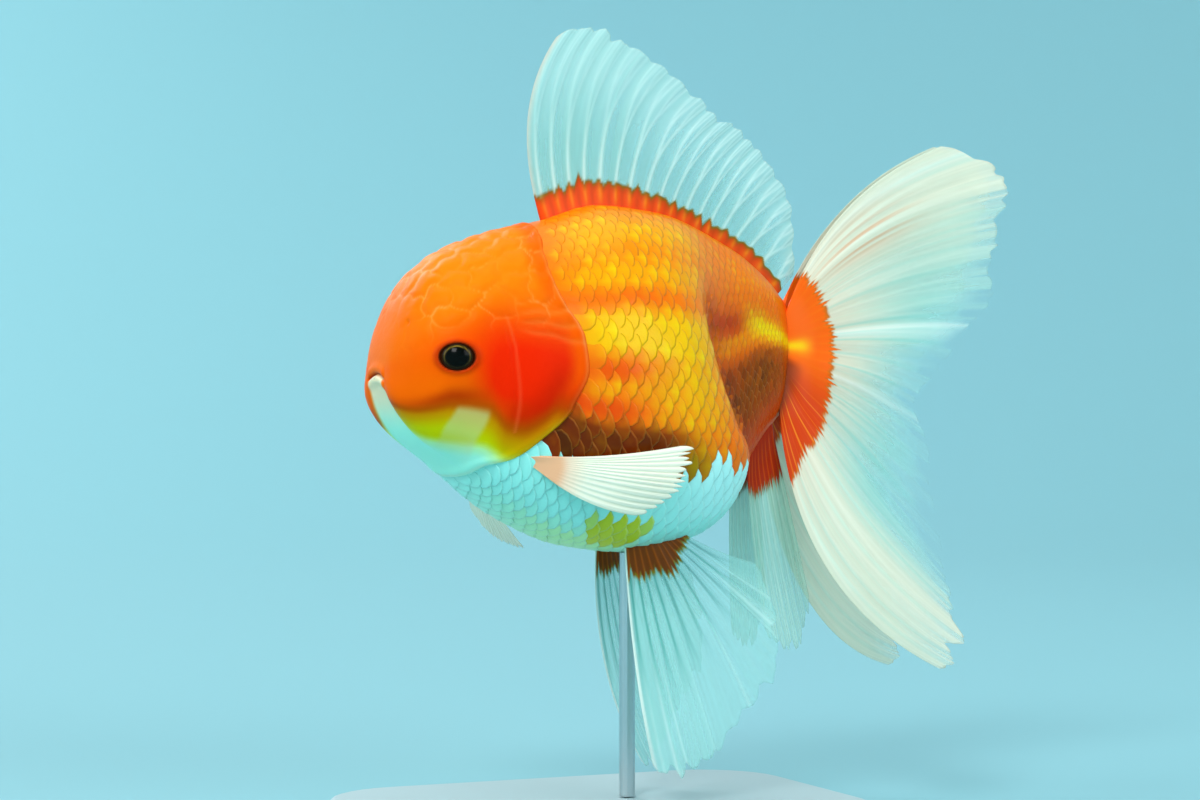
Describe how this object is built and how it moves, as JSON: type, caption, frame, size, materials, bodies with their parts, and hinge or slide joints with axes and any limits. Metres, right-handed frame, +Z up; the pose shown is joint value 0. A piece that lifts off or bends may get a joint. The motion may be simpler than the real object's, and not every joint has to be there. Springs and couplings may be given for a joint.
{
  "type": "fancy goldfish",
  "caption": "Life-size still model of a swimming orange and white oranda goldfish with long see-through fins, held by a plain display stand",
  "frame": {"origin": "middle of the stand base's underside", "axes": "+Z up; the head faces -Y and the fish's left flank faces +X"},
  "size_m": [0.075, 0.1458, 0.16],
  "materials": {
    "skin": "wet gloss",
    "scales": "wet gloss with a pearly sheen",
    "fin": "see-through skin with pale rays",
    "eye": "polished",
    "stand_plate": "satin",
    "stand_steel": "satin"
  },
  "bodies": {
    "root": {"anal_fin_left": "fin", "anal_fin_right": "fin", "dorsal_fin": "fin", "eye_left": "eye", "eye_right": "eye", "head": "skin", "pectoral_fin_left": "fin", "pectoral_fin_right": "fin", "pelvic_fin_left": "fin", "pelvic_fin_right": "fin", "stand_base": "stand_plate", "stand_rod": "stand_steel", "tail_fin_left": "fin", "tail_fin_right": "fin", "tail_stem": "scales", "trunk": "scales"}
  },
  "joints": []
}
